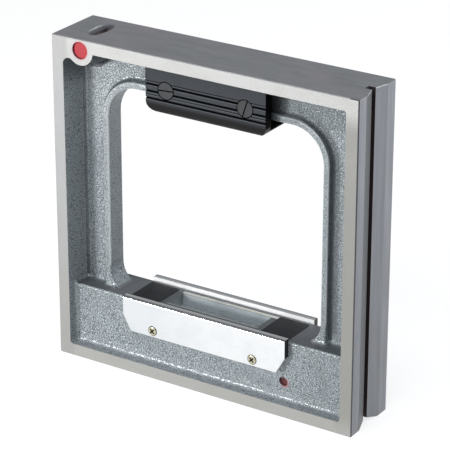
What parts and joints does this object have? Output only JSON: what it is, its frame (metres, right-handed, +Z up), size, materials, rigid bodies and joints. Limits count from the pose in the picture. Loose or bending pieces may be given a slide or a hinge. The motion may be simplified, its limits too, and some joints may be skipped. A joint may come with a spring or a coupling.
{
  "type": "precision machinist level",
  "caption": "Square cast frame level with grooved ground faces, a long vial in the lower beam, a cross vial in a corner boss, polished side plates and a black hand grip.",
  "frame": {"origin": "centre of the ground base, on the plane the level stands on", "axes": "+X along the base towards the grooved side face, +Y from the front to the back, +Z up"},
  "size_m": [0.2, 0.04, 0.2],
  "materials": {
    "cast_frame": "ground outer faces and front edges, hammered grey paint inside",
    "polished_plate": "mirror polished",
    "plated_screw": "yellowish nickel plate",
    "black_block": "satin black",
    "hood_metal": "satin grey",
    "clear_glass": "polished",
    "carrier_steel": "machined",
    "plaster": "matt plaster",
    "spirit": "clear liquid with a faint tint",
    "bubble": "gas bubble",
    "red_lacquer": "dark red lacquer",
    "sleeve_brass": "machined brass",
    "red_enamel": "bright red enamel",
    "black_grip": "satin black moulding",
    "black_screw": "blackened"
  },
  "bodies": {
    "level": {"frame_casting": "cast_frame", "cover_plate_front": "polished_plate", "cover_plate_rear": "polished_plate", "cover_screws_front": "plated_screw", "cover_screws_rear": "plated_screw", "end_block_left": "black_block", "end_block_right": "black_block", "reading_hood": "hood_metal", "window_glass": "clear_glass", "vial_carrier": "carrier_steel", "vial_seats": "plaster", "main_vial": "clear_glass", "main_spirit": "spirit", "pivot_screw": "carrier_steel", "pivot_washer": "carrier_steel", "adjusting_screw": "carrier_steel", "adjusting_spring": "carrier_steel", "lateral_screw": "carrier_steel", "lateral_spring": "carrier_steel", "lacquer_seal": "red_lacquer", "cross_vial": "clear_glass", "cross_spirit": "spirit", "cross_sleeve": "sleeve_brass", "cross_plug_front": "red_enamel", "cross_plug_rear": "red_enamel", "grip_front": "black_grip", "grip_rear": "black_grip", "grip_screws": "black_screw", "grip_nuts": "black_screw"},
    "main_bubble": {"main_bubble": "bubble"},
    "cross_bubble": {"cross_bubble": "bubble"}
  },
  "joints": [
    {"name": "main_bubble_slide", "type": "slide", "parent": "level", "child": "main_bubble", "axis": [1, 0, 0], "range_m": [-0.011, 0.011]},
    {"name": "cross_bubble_slide", "type": "slide", "parent": "level", "child": "cross_bubble", "axis": [0, 1, 0], "range_m": [-0.0032, 0.0032]}
  ]
}
